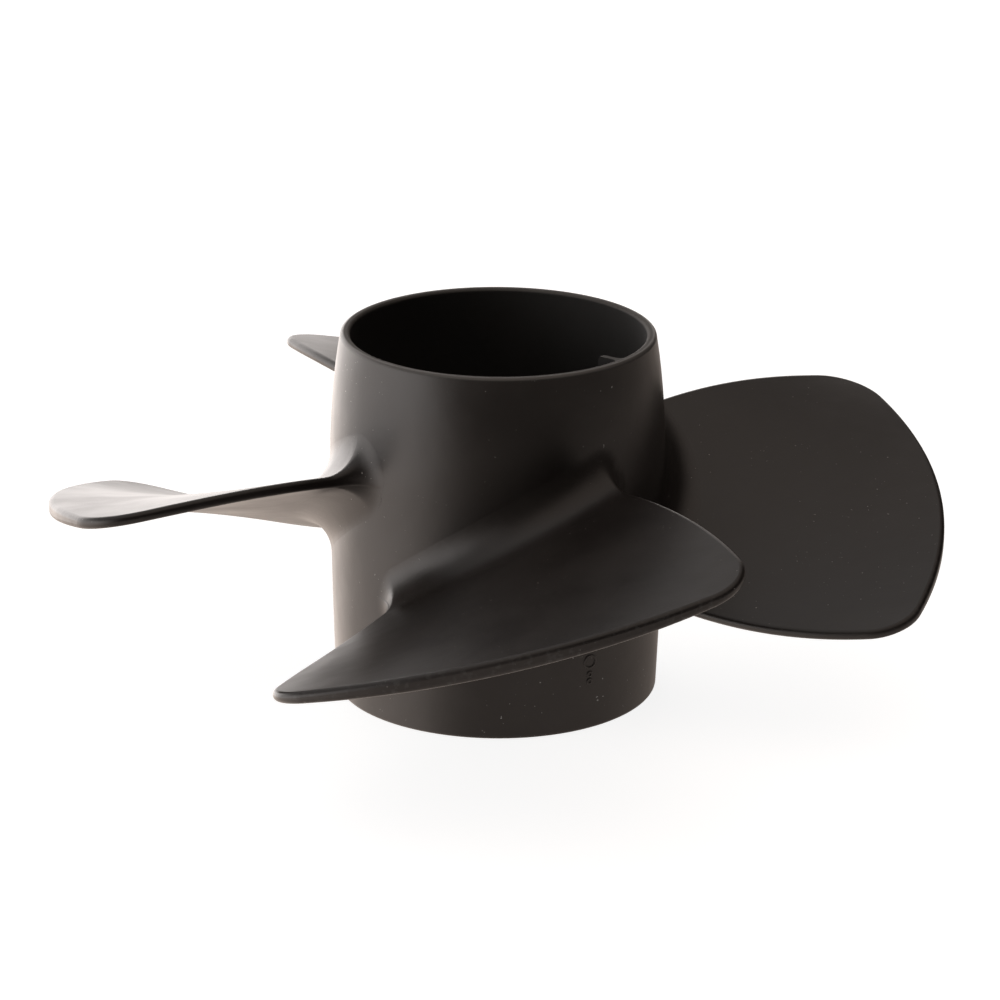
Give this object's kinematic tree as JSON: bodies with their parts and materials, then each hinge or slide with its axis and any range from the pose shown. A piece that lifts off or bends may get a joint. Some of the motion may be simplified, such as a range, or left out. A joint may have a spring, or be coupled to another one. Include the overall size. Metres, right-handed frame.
{
  "type": "outboard motor propeller",
  "caption": "Right-hand through-hub-exhaust boat propeller in black painted cast aluminium, with slipping rubber hub, splined drive sleeve and shaft hardware.",
  "frame": {"origin": "centre of the barrel's forward face, the face that the propeller stands on", "axes": "+Z along the propeller shaft axis, pointing aft; +X is 3.5 degrees from the first blade's reference line"},
  "size_m": [0.3334, 0.3334, 0.1378],
  "materials": {
    "cast_black": "cast aluminium under satin black marine enamel",
    "rubber": "moulded black rubber",
    "brass": "machined brass",
    "bronze": "turned bronze",
    "stainless": "brushed stainless steel",
    "nylon": "moulded nylon"
  },
  "bodies": {
    "drive_core": {"drive_sleeve": "brass", "thrust_washer": "bronze", "aft_spacer": "stainless", "tab_washer": "stainless", "prop_nut": "stainless", "nut_lock_ring": "nylon"},
    "bushing": {"rubber_bushing": "rubber"},
    "casting": {"barrel": "cast_black", "inner_hub": "cast_black", "blade_1": "cast_black", "blade_2": "cast_black", "blade_3": "cast_black", "blade_4": "cast_black", "rib_1": "cast_black", "rib_2": "cast_black", "rib_3": "cast_black"}
  },
  "joints": [
    {"name": "rubber_windup", "type": "hinge", "parent": "drive_core", "child": "bushing", "pos_m": [0, 0, 0.0465], "axis": [0, 0, 1], "range_deg": [-8, 8], "stiffness_Nm_per_rad": 1700},
    {"name": "hub_slip", "type": "hinge", "parent": "bushing", "child": "casting", "pos_m": [0, 0, 0.0465], "axis": [0, 0, 1], "continuous": true}
  ]
}
